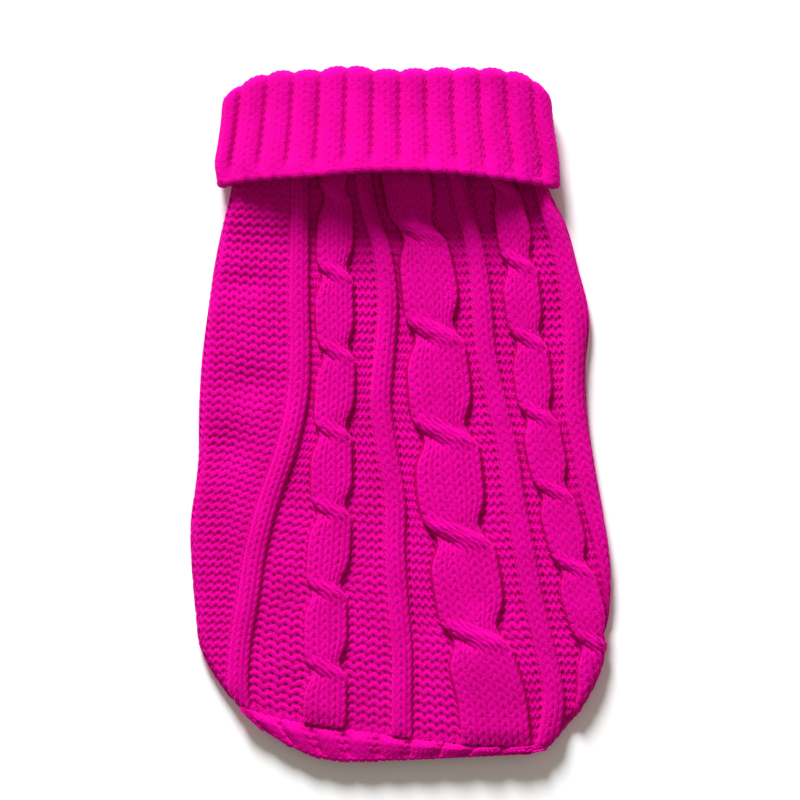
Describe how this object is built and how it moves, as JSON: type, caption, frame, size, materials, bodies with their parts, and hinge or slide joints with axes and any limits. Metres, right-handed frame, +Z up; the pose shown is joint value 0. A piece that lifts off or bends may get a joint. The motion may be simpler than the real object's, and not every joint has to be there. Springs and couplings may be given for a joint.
{
  "type": "dog sweater",
  "caption": "Cable-knit dog sweater with a folded ribbed turtleneck collar, lying flat on its belly, with leg holes in the underside and a short ribbed hem.",
  "frame": {"origin": "centre of the sweater's outline, on the surface it lies on", "axes": "+Y towards the collar along the garment, +X to the right of someone looking down on it with the collar away from them, +Z up from the surface"},
  "size_m": [0.1763, 0.2906, 0.0287],
  "materials": {
    "knit": "matte hot pink wool-type yarn with a light sheen and fuzz"
  },
  "bodies": {
    "root": {"back_panel": "knit", "belly_panel": "knit", "collar": "knit", "hem_band": "knit", "leg_band_left": "knit", "leg_band_right": "knit"}
  },
  "joints": []
}
